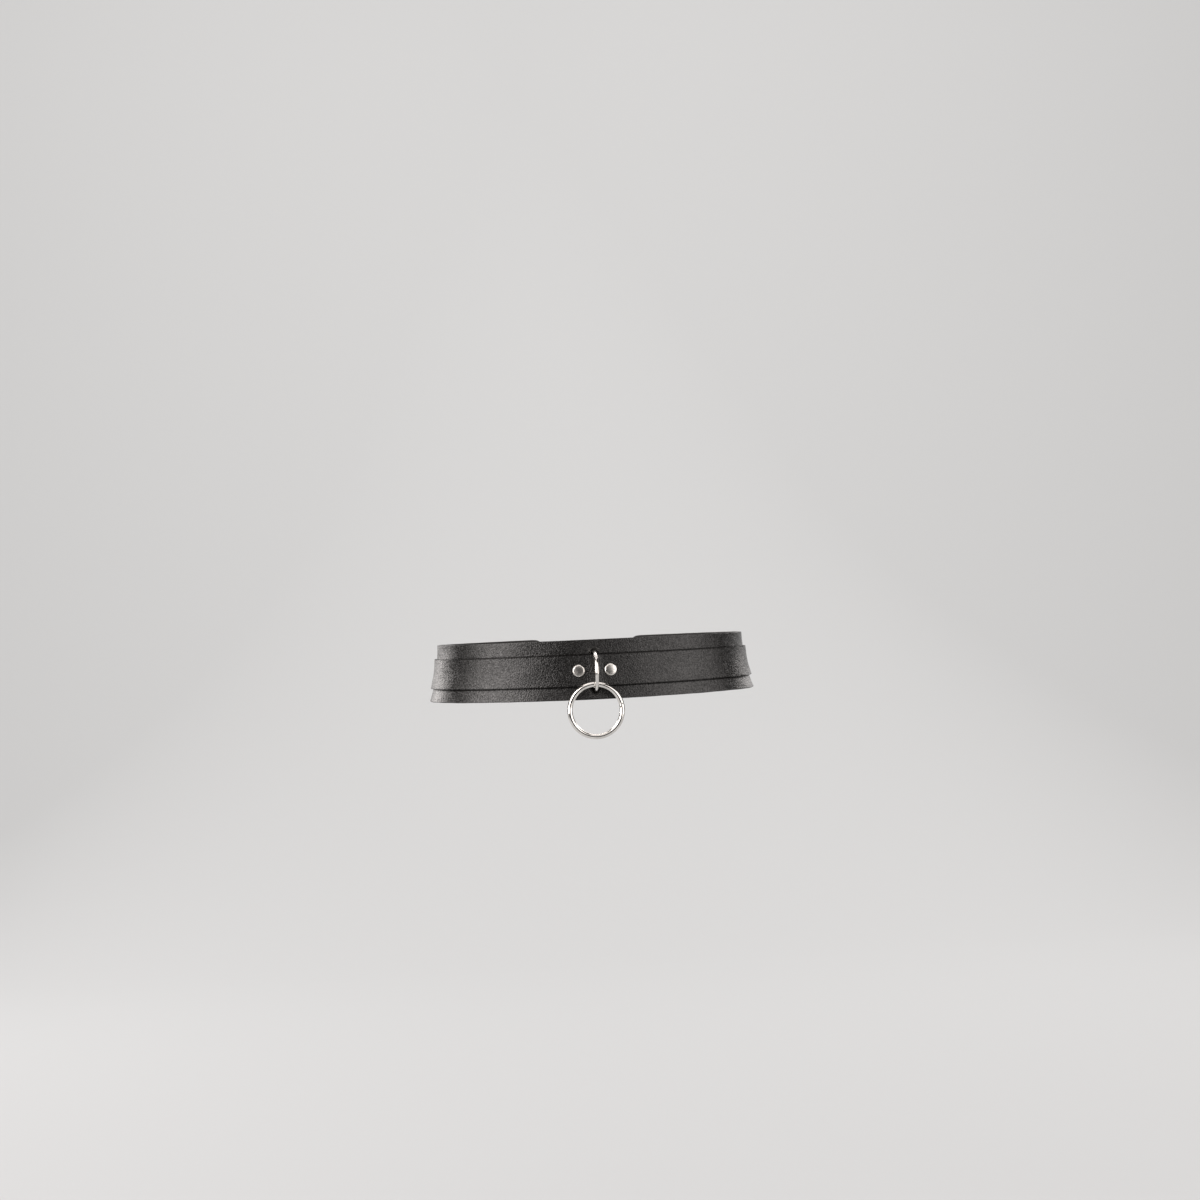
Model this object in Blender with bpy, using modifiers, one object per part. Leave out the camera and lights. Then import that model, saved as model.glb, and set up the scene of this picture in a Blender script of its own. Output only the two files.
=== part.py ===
# Waist belt of black leather with a ring hanging at its front.
# A wide band lies against the waist and a narrower strap runs over its middle.
# Two rivets trap the bar of a D-shaped wire ring between them, and a round ring hangs from it.
# The strap's ends meet in a plain wire buckle at the back.
# Metres, +Z up, the front faces -Y. The origin is the middle of the waist, at the strap's mid height.

import math

import bmesh
import bpy
import numpy as np
from mathutils import Matrix, Vector

# Waist loop, measured on the band's outer face at its top edge
WAIST_HALF_WIDTH = 0.1212
WAIST_HALF_DEPTH = 0.0873
WAIST_SQUARENESS = 2.2
SIDE_FLARE = 0.0080
FRONT_FLARE = 0.0024
FLARE_POWER = 2.2

# Leather
BAND_WIDTH = 0.0450
BAND_THICKNESS = 0.0016
BAND_RISE = 0.0007
BAND_END_FROM_BACK = 0.0370
BAND_CORNER = 0.0080
STRAP_WIDTH = 0.0240
STRAP_THICKNESS = 0.0018
TAIL_LENGTH = 0.0330
FOLD_LENGTH = 0.0260
FOLD_EASE = 0.0120

# Clearances
GAP = 0.0003
BAR_GAP = 0.0007
HOLE_GAP = 0.0003

# D-ring
D_WIRE = 0.0030
D_INNER_HEIGHT = 0.0257
D_CORNER = 0.0018
D_ARM_LENGTH = 0.0030
D_TURN = math.radians(4.0)

# Dent that the D-ring's bar presses into the band
DENT_DEPTH = 0.0030
DENT_REACH = 0.0054
DENT_MARGIN = 0.0045
DENT_FADE = 0.0058

# Round ring
O_WIRE = 0.0040
O_INNER_DIAMETER = 0.0350
O_SEAM_ANGLE = math.radians(15.0)
O_SEAM_GAP = 0.0003
O_STRAP_GAP = 0.0010
O_LEAN = math.radians(2.6)

# Rivets
RIVET_SPACING = 0.0238
RIVET_CAP_DIAMETER = 0.0094
RIVET_CAP_HEIGHT = 0.0017
RIVET_RIM = 0.0013
RIVET_POST_DIAMETER = 0.0030
RIVET_BACK_DIAMETER = 0.0080
RIVET_BACK_HEIGHT = 0.0011
BAND_RIVET_FROM_END = 0.0070

# Back buckle
BUCKLE_WIRE = 0.0030
BUCKLE_LENGTH = 0.0220
BUCKLE_SIDE_ROOM = 0.0015
BUCKLE_CORNER = 0.0030
TONGUE_WIRE = 0.0022
TONGUE_TIP = 0.0020
TONGUE_FUSE = 0.0002
HOLE_DIAMETER = 0.0038
HOLE_PITCH = 0.0250
HOLE_FROM_BAR = 0.0060
HOLES_BEFORE = 1
HOLES_AFTER = 3

# Mesh steps
LOOP_STEPS = 3600
SIDE_STEP = 0.0070
CLOSURE_STEP = 0.0025
HUMP_STEP = 0.0012
BEND_STEPS = 8
STRAP_STRIPS = 3
BAND_ROWS = (0.0, 0.07, 0.16, 0.35, 0.57, 0.765, 0.83, 0.90, 1.0)
TIP_STEPS = 6
ROUND_STEPS = 24

# Heights and levels worked out from the sizes above.
# A level is a distance outwards from the band's outer face.
BAND_TOP = BAND_RISE + BAND_WIDTH / 2
BAND_BOTTOM = BAND_RISE - BAND_WIDTH / 2
STRAP_HALF = STRAP_WIDTH / 2
STRAP_LEVEL = GAP + STRAP_THICKNESS / 2
STRAP_OUTSIDE = GAP + STRAP_THICKNESS
LAYER = STRAP_THICKNESS + GAP
D_BAR_LEVEL = BAR_GAP + D_WIRE / 2 - DENT_DEPTH
HUMP_LEVEL = D_BAR_LEVEL + D_WIRE / 2 + GAP + STRAP_THICKNESS / 2
HUMP_REACH = (RIVET_SPACING - RIVET_CAP_DIAMETER) / 2
D_TOP = STRAP_HALF + GAP + D_WIRE / 2
D_BOTTOM = D_TOP - D_INNER_HEIGHT - D_WIRE
DENT_TOP = D_TOP + DENT_MARGIN
DENT_BOTTOM = D_BOTTOM - DENT_MARGIN
WRAP_LEVEL = BUCKLE_WIRE / 2 + GAP + STRAP_THICKNESS / 2
FRONT_BAR_LEVEL = STRAP_OUTSIDE + GAP + BUCKLE_WIRE / 2
BUCKLE_HALF_HEIGHT = STRAP_HALF + BUCKLE_SIDE_ROOM + BUCKLE_WIRE / 2


# The waist surface

def waist_point(turn, height):
    # turn is the angle round the waist, 0 at the front and growing towards +X
    below_top = max((BAND_TOP - height) / BAND_WIDTH, 0.0)
    flare = below_top ** FLARE_POWER
    half_width = WAIST_HALF_WIDTH + SIDE_FLARE * flare
    half_depth = WAIST_HALF_DEPTH + FRONT_FLARE * flare
    across = abs(math.sin(turn)) / half_width
    deep = abs(math.cos(turn)) / half_depth
    radius = (across ** WAIST_SQUARENESS + deep ** WAIST_SQUARENESS) ** (-1 / WAIST_SQUARENESS)
    return Vector((radius * math.sin(turn), -radius * math.cos(turn), height))


def loop_table():
    turns = np.linspace(0.0, 2 * math.pi, LOOP_STEPS + 1)
    points = np.array([waist_point(turn, 0.0) for turn in turns])
    steps = np.linalg.norm(np.diff(points, axis=0), axis=1)
    return turns, np.concatenate(([0.0], np.cumsum(steps)))


TURNS, DISTANCES = loop_table()
LOOP_LENGTH = float(DISTANCES[-1])
HALF_LOOP = LOOP_LENGTH / 2


def turn_at(distance):
    # distance runs along the belt from the front centre, towards +X
    laps, rest = divmod(distance, LOOP_LENGTH)
    return laps * 2 * math.pi + float(np.interp(rest, DISTANCES, TURNS))


def belt_frame(distance, height, level=0.0):
    # X runs along the belt, Y up its face and Z outwards
    turn = turn_at(distance)
    small_turn = 1e-3
    small_height = 1e-4
    along = waist_point(turn + small_turn, height) - waist_point(turn - small_turn, height)
    along.normalize()
    up = waist_point(turn, height + small_height) - waist_point(turn, height - small_height)
    out = along.cross(up).normalized()
    up = out.cross(along)
    frame = Matrix((along, up, out)).transposed().to_4x4()
    frame.translation = waist_point(turn, height) + out * level
    return frame


def belt_point(distance, level, height):
    return belt_frame(distance, height, level).translation


def ease(share):
    share = min(max(share, 0.0), 1.0)
    return share * share * (3 - 2 * share)


def band_level(distance, height):
    # The band's outer face lies at level 0 except under the D-ring's bar
    if abs(distance) >= DENT_REACH:
        return 0.0
    across = (1 + math.cos(math.pi * distance / DENT_REACH)) / 2
    above = ease((height - DENT_BOTTOM) / DENT_FADE)
    below = ease((DENT_TOP - height) / DENT_FADE)
    return -DENT_DEPTH * across * above * below


# Levels of the strap. past_bar is the distance from the buckle's bar, along the side that carries the buckle.

def carrier_level(past_bar):
    return STRAP_LEVEL + (WRAP_LEVEL - STRAP_LEVEL) * ease(1 - past_bar / FOLD_EASE)


def fold_level(past_bar):
    flat = STRAP_LEVEL - LAYER
    return flat + (-WRAP_LEVEL - flat) * ease(1 - past_bar / FOLD_EASE)


def tail_level(past_bar):
    if past_bar >= 0:
        return carrier_level(past_bar) + LAYER
    climb = BUCKLE_LENGTH - BUCKLE_WIRE / 2
    top = WRAP_LEVEL + LAYER
    return STRAP_LEVEL + (top - STRAP_LEVEL) * ease(1 + past_bar / climb)


def strap_level(distance):
    if abs(distance) < HUMP_REACH:
        hump = (1 + math.cos(math.pi * distance / HUMP_REACH)) / 2
        return STRAP_LEVEL + (HUMP_LEVEL - STRAP_LEVEL) * hump
    if distance < 0:
        return tail_level(-HALF_LOOP - distance)
    return carrier_level(HALF_LOOP - distance)


# Helpers

def clear_scene():
    for item in list(bpy.data.objects):
        bpy.data.objects.remove(item, do_unlink=True)


def new_collection(name):
    collection = bpy.data.collections.new(name)
    bpy.context.scene.collection.children.link(collection)
    return collection


def new_material(name, color, roughness, metallic):
    material = bpy.data.materials.new(name)
    material.use_nodes = True
    shader = material.node_tree.nodes["Principled BSDF"]
    shader.inputs["Base Color"].default_value = (*color, 1.0)
    shader.inputs["Roughness"].default_value = roughness
    shader.inputs["Metallic"].default_value = metallic
    return material


def new_object(name, data, collection, material=None, matrix=None):
    item = bpy.data.objects.new(name, data)
    if matrix is not None:
        item.matrix_world = matrix
    if material is not None:
        data.materials.append(material)
    collection.objects.link(item)
    return item


def spread(start, stop, step):
    count = max(1, round(abs(stop - start) / step))
    return [start + (stop - start) * index / count for index in range(count)]


def end_reach(from_end, corner, half):
    # How much of the half width is left near an end with round corners
    if from_end >= corner:
        return 1.0
    return (half - corner + math.sqrt(corner ** 2 - (corner - from_end) ** 2)) / half


def leather_sheet(name, path, heights, thickness, side, material, collection):
    # path holds (distance, level, reach) for each line across the leather.
    # level is a number, or a function of distance and height.
    bm = bmesh.new()
    columns = len(path) - 1
    rows = len(heights) - 1
    bmesh.ops.create_grid(bm, x_segments=columns, y_segments=rows, size=0.5)
    middle = (heights[0] + heights[-1]) / 2
    for vert in bm.verts:
        column = round((vert.co.x + 0.5) * columns)
        row = round((vert.co.y + 0.5) * rows)
        distance, level, reach = path[column]
        height = middle + (heights[row] - middle) * reach
        outwards = level(distance, height) if callable(level) else level
        vert.co = belt_point(distance, outwards, height)
    mesh = bpy.data.meshes.new(name)
    bm.to_mesh(mesh)
    bm.free()
    item = new_object(name, mesh, collection, material)
    wall = item.modifiers.new("wall", "SOLIDIFY")
    wall.thickness = thickness
    wall.offset = side
    wall.use_even_offset = True
    wall.use_quality_normals = True
    return item


def cut(item, cutter):
    bite = item.modifiers.new(cutter.name, "BOOLEAN")
    bite.operation = "DIFFERENCE"
    bite.solver = "EXACT"
    bite.object = cutter


def as_cutter(item):
    item.hide_render = True
    item.display_type = "WIRE"
    return item


def round_cutter(name, radius, height, matrix, collection):
    bm = bmesh.new()
    bmesh.ops.create_cone(bm, cap_ends=True, segments=ROUND_STEPS, radius1=radius, radius2=radius, depth=height)
    mesh = bpy.data.meshes.new(name)
    bm.to_mesh(mesh)
    bm.free()
    return as_cutter(new_object(name, mesh, collection, matrix=matrix))


def box_cutter(name, size, matrix, collection):
    bm = bmesh.new()
    bmesh.ops.create_cube(bm, size=1.0, matrix=Matrix.Diagonal((*size, 1.0)))
    mesh = bpy.data.meshes.new(name)
    bm.to_mesh(mesh)
    bm.free()
    return as_cutter(new_object(name, mesh, collection, matrix=matrix))


def wire(name, points, diameter, closed, resolution):
    curve = bpy.data.curves.new(name, "CURVE")
    curve.dimensions = "3D"
    curve.bevel_depth = diameter / 2
    curve.bevel_resolution = resolution
    curve.use_fill_caps = not closed
    spline = curve.splines.new("POLY")
    spline.points.add(len(points) - 1)
    for point, place in zip(spline.points, points):
        point.co = (*place, 1.0)
    spline.use_cyclic_u = closed
    spline.use_smooth = True
    return curve


def arc(centre_x, centre_y, radius, start, stop, steps):
    # Points of an arc, angles in degrees, both ends included
    points = []
    for index in range(steps + 1):
        angle = math.radians(start + (stop - start) * index / steps)
        points.append((centre_x + radius * math.cos(angle), centre_y + radius * math.sin(angle)))
    return points


def mesh_from_curve(name, item, collection, material):
    # A closed mesh of a curve object, which is then removed
    evaluated = item.evaluated_get(bpy.context.evaluated_depsgraph_get())
    mesh = bpy.data.meshes.new_from_object(evaluated)
    mesh.name = name
    bm = bmesh.new()
    bm.from_mesh(mesh)
    bmesh.ops.remove_doubles(bm, verts=bm.verts, dist=1e-6)
    bmesh.ops.recalc_face_normals(bm, faces=bm.faces)
    bm.to_mesh(mesh)
    bm.free()
    matrix = item.matrix_world.copy()
    bpy.data.objects.remove(item, do_unlink=True)
    mesh.materials.clear()
    return new_object(name, mesh, collection, material, matrix)


# The pieces

def make_band(parts, leather):
    heights = [BAND_BOTTOM + BAND_WIDTH * share for share in BAND_ROWS]
    end = HALF_LOOP - BAND_END_FROM_BACK
    corner_start = end - BAND_CORNER
    corner = [end - BAND_CORNER * (1 - math.cos(math.radians(a))) for a in (5, 30, 60)]
    right = spread(HUMP_REACH, corner_start, SIDE_STEP) + [corner_start] + corner[::-1]
    front = spread(-HUMP_REACH, HUMP_REACH, HUMP_STEP)
    distances = [-distance for distance in right[::-1] if distance > HUMP_REACH] + front + right
    path = [(d, band_level, end_reach(end - abs(d), BAND_CORNER, BAND_WIDTH / 2)) for d in distances]
    return leather_sheet("waist_band", path, heights, BAND_THICKNESS, -1.0, leather, parts)


def strap_path():
    tip = -HALF_LOOP - TAIL_LENGTH
    round_end = tip + STRAP_HALF
    closure = HALF_LOOP - BAND_END_FROM_BACK - BAND_CORNER
    distances = []
    for index in range(1, TIP_STEPS + 1):
        distances.append(tip + STRAP_HALF * (1 - math.cos(math.pi / 2 * index / TIP_STEPS)))
    distances += spread(round_end, -closure, CLOSURE_STEP)[1:]
    distances += spread(-closure, -HUMP_REACH, SIDE_STEP)
    distances += spread(-HUMP_REACH, HUMP_REACH, HUMP_STEP)
    distances += spread(HUMP_REACH, closure, SIDE_STEP)
    distances += spread(closure, HALF_LOOP, CLOSURE_STEP)
    path = [(d, strap_level(d), end_reach(d - tip, STRAP_HALF, STRAP_HALF)) for d in distances]
    for forward, level in arc(0.0, 0.0, WRAP_LEVEL, 90, -90, BEND_STEPS):
        path.append((HALF_LOOP + forward, level, 1.0))
    back = spread(0.0, FOLD_LENGTH, CLOSURE_STEP)[1:] + [FOLD_LENGTH]
    path += [(HALF_LOOP - past_bar, fold_level(past_bar), 1.0) for past_bar in back]
    return path


def make_strap(parts, leather):
    heights = [-STRAP_HALF + STRAP_WIDTH * index / STRAP_STRIPS for index in range(STRAP_STRIPS + 1)]
    return leather_sheet("front_strap", strap_path(), heights, STRAP_THICKNESS, 0.0, leather, parts)


def make_rivet(name, distance, parts, metal):
    under = STRAP_OUTSIDE + GAP
    top = under + RIVET_CAP_HEIGHT
    cap = RIVET_CAP_DIAMETER / 2
    post = RIVET_POST_DIAMETER / 2
    back = RIVET_BACK_DIAMETER / 2
    inside = -BAND_THICKNESS - GAP
    profile = [(0.0, top)]
    profile += arc(cap - RIVET_RIM, top - RIVET_RIM, RIVET_RIM, 90, 0, 3)
    profile += [(cap, under), (post, under), (post, inside), (back, inside)]
    profile += [(back, inside - RIVET_BACK_HEIGHT), (0.0, inside - RIVET_BACK_HEIGHT)]
    mesh = bpy.data.meshes.new(name)
    edges = [(index, index + 1) for index in range(len(profile) - 1)]
    mesh.from_pydata([(radius, 0.0, height) for radius, height in profile], edges, [])
    item = new_object(name, mesh, parts, metal, belt_frame(distance, 0.0))
    lathe = item.modifiers.new("lathe", "SCREW")
    lathe.axis = "Z"
    lathe.steps = ROUND_STEPS
    lathe.render_steps = ROUND_STEPS
    lathe.use_merge_vertices = True
    lathe.merge_threshold = 1e-5
    return item


def rivet_hole(name, distance, cutters):
    height = 3 * (STRAP_THICKNESS + BAND_THICKNESS + GAP)
    radius = RIVET_POST_DIAMETER / 2 + HOLE_GAP
    return round_cutter(name, radius, height, belt_frame(distance, 0.0), cutters)


def d_ring_outline():
    # In the ring's own plane: x outwards from the bar, y up from its middle
    half = (D_TOP - D_BOTTOM) / 2
    points = arc(D_CORNER, -half + D_CORNER, D_CORNER, 180, 270, 3)
    points += arc(D_ARM_LENGTH, 0.0, half, -90, 90, 18)
    points += arc(D_CORNER, half - D_CORNER, D_CORNER, 90, 180, 3)
    return points


def make_d_ring(parts, metal):
    # The ring's plane stands square to the belt's face, turned by D_TURN about its bar
    points = [(out, up, 0.0) for out, up in d_ring_outline()]
    frame = belt_frame(0.0, (D_TOP + D_BOTTOM) / 2, D_BAR_LEVEL)
    plane = Matrix(((0, 0, -1, 0), (0, 1, 0, 0), (1, 0, 0, 0), (0, 0, 0, 1)))
    swing = Matrix.Rotation(D_TURN, 4, "Y")
    curve = wire("d_ring", points, D_WIRE, True, 3)
    return new_object("d_ring", curve, parts, metal, frame @ swing @ plane)


def make_o_ring(parts, metal, d_ring):
    # It hangs on the D-ring's lower arm, in front of the strap.
    # The worn belt is tipped by O_LEAN and modelled level here, so the plumb ring leans that much.
    radius = (O_INNER_DIAMETER + O_WIRE) / 2
    reach = HUMP_LEVEL + STRAP_THICKNESS / 2 + O_STRAP_GAP + O_WIRE / 2 - D_BAR_LEVEL
    bow = (D_TOP - D_BOTTOM) / 2
    past_arm = max(reach - D_ARM_LENGTH, 0.0)
    arm = -math.sqrt(bow ** 2 - past_arm ** 2)
    rest = arm + D_WIRE / 2 + GAP + O_WIRE / 2
    pivot = d_ring.matrix_world @ Vector((reach, rest, 0.0))
    gap_angle = math.degrees(O_SEAM_GAP / radius)
    seam = math.degrees(O_SEAM_ANGLE)
    outline = arc(0.0, -radius, radius, seam + gap_angle / 2, seam + 360 - gap_angle / 2, 48)
    points = [(across, 0.0, up) for across, up in outline]
    curve = wire("o_ring", points, O_WIRE, False, 3)
    lean = Matrix.Rotation(O_LEAN, 4, "Y")
    item = new_object("o_ring", curve, parts, metal, Matrix.Translation(pivot) @ lean)
    item.parent = d_ring
    item.matrix_parent_inverse = d_ring.matrix_world.inverted()
    return item


def buckle_frame_points():
    # Cyclic outline of the buckle, from its bar past the corners to its front bar
    half = BUCKLE_HALF_HEIGHT
    corner = BUCKLE_CORNER
    far = BUCKLE_LENGTH - corner
    outline = arc(corner, half - corner, corner, 180, 90, 3)
    outline += [(corner + (far - corner) * share, half) for share in (0.25, 0.5, 0.75)]
    outline += arc(far, half - corner, corner, 90, 0, 3)
    outline += [(forward, -up) for forward, up in outline[::-1]]
    points = []
    for forward, up in outline:
        level = FRONT_BAR_LEVEL * ease(forward / BUCKLE_LENGTH)
        points.append(belt_point(HALF_LOOP + forward, level, up))
    return points


def tongue_points():
    # From the bar through the tail's hole, then over the front bar
    hole = HOLE_FROM_BAR
    under = tail_level(-hole) - STRAP_THICKNESS / 2
    over = tail_level(-hole) + STRAP_THICKNESS / 2
    wire_half = TONGUE_WIRE / 2
    rest = FRONT_BAR_LEVEL + BUCKLE_WIRE / 2 + wire_half - TONGUE_FUSE
    route = [
        (0.0, 0.0),
        (hole * 0.45, 0.0),
        (hole * 0.85, under * 0.3),
        (hole, under * 0.75),
        (hole, over),
        (hole + wire_half * 0.4, over + wire_half),
        (hole + wire_half * 1.5, rest + wire_half * 0.2),
        (hole + wire_half * 4.0, rest + wire_half * 0.4),
        ((hole + BUCKLE_LENGTH) / 2 + wire_half * 2, rest + wire_half * 0.3),
        (BUCKLE_LENGTH, rest),
        (BUCKLE_LENGTH + TONGUE_TIP, rest - wire_half * 0.4),
    ]
    return [belt_point(HALF_LOOP + forward, level, 0.0) for forward, level in route]


def make_buckle(parts, cutters, metal):
    frame_curve = wire("back_buckle_wire", buckle_frame_points(), BUCKLE_WIRE, True, 3)
    frame_item = new_object("back_buckle_wire", frame_curve, parts)
    tongue_curve = wire("tongue_wire", tongue_points(), TONGUE_WIRE, False, 3)
    tongue_item = new_object("tongue_wire", tongue_curve, cutters)
    bpy.context.view_layer.update()
    buckle = mesh_from_curve("back_buckle", frame_item, parts, metal)
    tongue = as_cutter(mesh_from_curve("tongue", tongue_item, cutters, metal))
    join = buckle.modifiers.new("tongue", "BOOLEAN")
    join.operation = "UNION"
    join.solver = "EXACT"
    join.object = tongue
    return buckle


def cut_tail_holes(strap, cutters):
    for index in range(-HOLES_BEFORE, HOLES_AFTER + 1):
        past_bar = -HOLE_FROM_BAR - HOLE_PITCH * index
        distance = -HALF_LOOP - past_bar
        matrix = belt_frame(distance, 0.0, tail_level(past_bar))
        height = STRAP_THICKNESS + GAP
        if index == 0:
            height = 3 * STRAP_THICKNESS
        name = f"tail_hole_{index + HOLES_BEFORE}"
        cut(strap, round_cutter(name, HOLE_DIAMETER / 2, height, matrix, cutters))


def cut_tongue_slot(strap, cutters):
    outside = WRAP_LEVEL + STRAP_THICKNESS / 2
    length = outside + GAP
    size = (length, TONGUE_WIRE + 2 * GAP + HOLE_GAP, 2 * (WRAP_LEVEL + GAP))
    matrix = belt_frame(HALF_LOOP + length / 2, 0.0)
    cut(strap, box_cutter("tongue_slot", size, matrix, cutters))


def build():
    clear_scene()
    parts = new_collection("ring_belt")
    cutters = new_collection("cutters")
    leather = new_material("black_leather", (0.012, 0.011, 0.011), 0.5, 0.0)
    nickel = new_material("nickel_wire", (0.72, 0.70, 0.67), 0.18, 1.0)
    rivet_metal = new_material("rivet_nickel", (0.66, 0.64, 0.61), 0.28, 1.0)
    buckle_metal = new_material("buckle_nickel", (0.70, 0.68, 0.65), 0.24, 1.0)

    band = make_band(parts, leather)
    strap = make_strap(parts, leather)
    band_rivet = HALF_LOOP - BAND_END_FROM_BACK - BAND_RIVET_FROM_END
    rivets = (
        ("rivet_left", -RIVET_SPACING / 2),
        ("rivet_right", RIVET_SPACING / 2),
        ("band_rivet_left", -band_rivet),
        ("band_rivet_right", band_rivet),
    )
    for name, distance in rivets:
        make_rivet(name, distance, parts, rivet_metal)
        hole = rivet_hole(name + "_hole", distance, cutters)
        cut(band, hole)
        cut(strap, hole)
    cut_tail_holes(strap, cutters)
    cut_tongue_slot(strap, cutters)

    d_ring = make_d_ring(parts, nickel)
    bpy.context.view_layer.update()
    make_o_ring(parts, nickel, d_ring)
    make_buckle(parts, cutters, buckle_metal)


build()
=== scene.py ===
import math

import bmesh
import bpy
import numpy as np
from mathutils import Matrix, Vector


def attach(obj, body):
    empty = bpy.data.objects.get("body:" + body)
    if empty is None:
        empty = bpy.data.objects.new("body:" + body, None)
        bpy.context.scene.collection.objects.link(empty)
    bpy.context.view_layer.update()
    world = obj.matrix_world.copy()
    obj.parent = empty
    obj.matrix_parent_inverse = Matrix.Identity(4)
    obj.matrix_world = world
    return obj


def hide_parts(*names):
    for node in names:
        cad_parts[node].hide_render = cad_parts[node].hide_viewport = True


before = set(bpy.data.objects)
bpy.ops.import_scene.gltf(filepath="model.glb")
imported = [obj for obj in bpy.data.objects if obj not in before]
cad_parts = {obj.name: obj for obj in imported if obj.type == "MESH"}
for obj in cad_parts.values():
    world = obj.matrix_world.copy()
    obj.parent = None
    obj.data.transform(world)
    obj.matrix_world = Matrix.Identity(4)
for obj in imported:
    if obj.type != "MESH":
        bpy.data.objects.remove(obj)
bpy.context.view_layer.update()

# The waist that the belt goes round, measured on the band's outer face at its top edge
waist = {
    "halfWidth": 0.1212,
    "halfDepth": 0.0873,
    "squareness": 2.2,      # 2 is an ellipse, more is squarer
    "sideFlare": 0.0080,    # how much further out the bottom edge is, at the sides
    "frontFlare": 0.0024,   # the same at the front and back
    "flarePower": 2.2,
    "sideLift": 0.0012,     # leather that slants out ends that much higher, at the sides
}

# The wide band that lies against the waist
band = {
    "width": 0.0450,
    "thickness": 0.0016,
    "rise": 0.0007,          # its middle is this much above the strap's
    "endFromBack": 0.0370,   # where it stops short of the buckle
    "endCorner": 0.0080,
    "dentDepth": 0.0029,     # pressed in by the bar of the D-ring
    "dentReach": 0.0054,
    "dentTop": 0.0185,
    "dentBottom": -0.0196,
    "dentFade": 0.0054,
    "edgeRound": 0.00035,
}

# The narrower strap over its middle
strap = {
    "width": 0.0240,
    "thickness": 0.0018,
    "gap": 0.0003,           # between layers
    "tail": 0.0330,          # past the buckle's bar
    "fold": 0.0260,          # turned back round the bar
    "foldEase": 0.0120,
    "edgeRound": 0.00040,
    "holeRadius": 0.0019,
    "holePitch": 0.0250,
    "holeFromBar": 0.0060,
    "holesBefore": 1,
    "holesAfter": 3,
}

# How far apart the lines of the leather's meshes stand
meshSteps = {
    "long": 0.0023,
    "front": 0.0009,         # where the leather bends over the D-ring's bar
    "frontReach": 0.010,
    "holes": 0.0022,
    "bend": 0.0006,
    "fold": 0.0021,
    "bandRows": 24,
}

# Gentle unevenness of worn leather, as (height of the wave, its length, its start, how it leans)
leatherWaves = (
    (0.00016, 0.083, 0.4, 1.2),
    (0.00010, 0.047, 2.1, -2.0),
    (0.00005, 0.021, 4.4, 3.1),
)

# The buckle at the back
buckle = {
    "wire": 0.0030,
    "length": 0.0220,
    "sideRoom": 0.0015,
    "corner": 0.0030,
    "tongueWire": 0.0022,
    "tongueTip": 0.0020,
}

bandTop = band["rise"] + band["width"] / 2
bandBottom = band["rise"] - band["width"] / 2
strapHalf = strap["width"] / 2
strapLevel = strap["gap"] + strap["thickness"] / 2
strapOutside = strap["gap"] + strap["thickness"]
layer = strap["thickness"] + strap["gap"]
wrapLevel = buckle["wire"] / 2 + strap["gap"] + strap["thickness"] / 2


# Where things are on the belt: a distance along it from the front centre, a height, and a level
# outwards from the band's face

def waistPoint(turn, height):
    belowTop = max((bandTop - height) / band["width"], 0.0)
    flare = belowTop ** waist["flarePower"]
    halfWidth = waist["halfWidth"] + waist["sideFlare"] * flare
    halfDepth = waist["halfDepth"] + waist["frontFlare"] * flare
    across = abs(math.sin(turn)) / halfWidth
    deep = abs(math.cos(turn)) / halfDepth
    power = waist["squareness"]
    radius = (across ** power + deep ** power) ** (-1 / power)
    lift = waist["sideLift"] * flare * math.sin(turn) ** 2
    return Vector((radius * math.sin(turn), -radius * math.cos(turn), height + lift))


loopTurns = np.linspace(0.0, 2 * math.pi, 3601)
loopPoints = np.array([waistPoint(turn, 0.0) for turn in loopTurns])
loopSteps = np.linalg.norm(np.diff(loopPoints, axis=0), axis=1)
loopDistances = np.concatenate(([0.0], np.cumsum(loopSteps)))
loopLength = float(loopDistances[-1])
halfLoop = loopLength / 2


def turnAt(distance):
    laps, rest = divmod(distance, loopLength)
    return laps * 2 * math.pi + float(np.interp(rest, loopDistances, loopTurns))


def beltFrame(distance, height, level=0.0):
    # X runs along the belt, Y up its face and Z outwards
    turn = turnAt(distance)
    along = waistPoint(turn + 1e-3, height) - waistPoint(turn - 1e-3, height)
    along.normalize()
    up = waistPoint(turn, height + 1e-4) - waistPoint(turn, height - 1e-4)
    out = along.cross(up).normalized()
    place = Matrix((along, out.cross(along), out)).transposed().to_4x4()
    place.translation = waistPoint(turn, height) + out * level
    return place


def ease(share):
    share = min(max(share, 0.0), 1.0)
    return share * share * (3 - 2 * share)


def leatherWave(distance, height):
    # The band and the strap wave together, and lie true at the rings and the buckle
    fromFront = ease((abs(distance) - 0.018) / 0.030)
    fromBack = ease((halfLoop - abs(distance) - 0.050) / 0.040)
    wave = 0.0
    for size, length, start, lean in leatherWaves:
        wave += size * math.sin(2 * math.pi * (distance + lean * height) / length + start)
    return wave * fromFront * fromBack


def spacedLines(stops):
    # Lines between pairs of stops, about a step apart, as (start, stop, step)
    lines = []
    for start, stop, step in stops:
        count = max(1, round((stop - start) / step))
        lines += [start + (stop - start) * index / count for index in range(count)]
    lines.append(stops[-1][1])
    return lines


def endReach(fromEnd, corner, half):
    # How much of the half width is left near an end with round corners
    if fromEnd >= corner:
        return 1.0
    fromEnd = max(fromEnd, corner * 0.02)
    return (half - corner + math.sqrt(corner ** 2 - (corner - fromEnd) ** 2)) / half


def cornerLines(corner, count):
    # Distances from an end that space the lines evenly round its corner
    return [corner * (1 - math.cos(math.pi / 2 * index / count)) for index in range(count)]


# Making pieces

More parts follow.
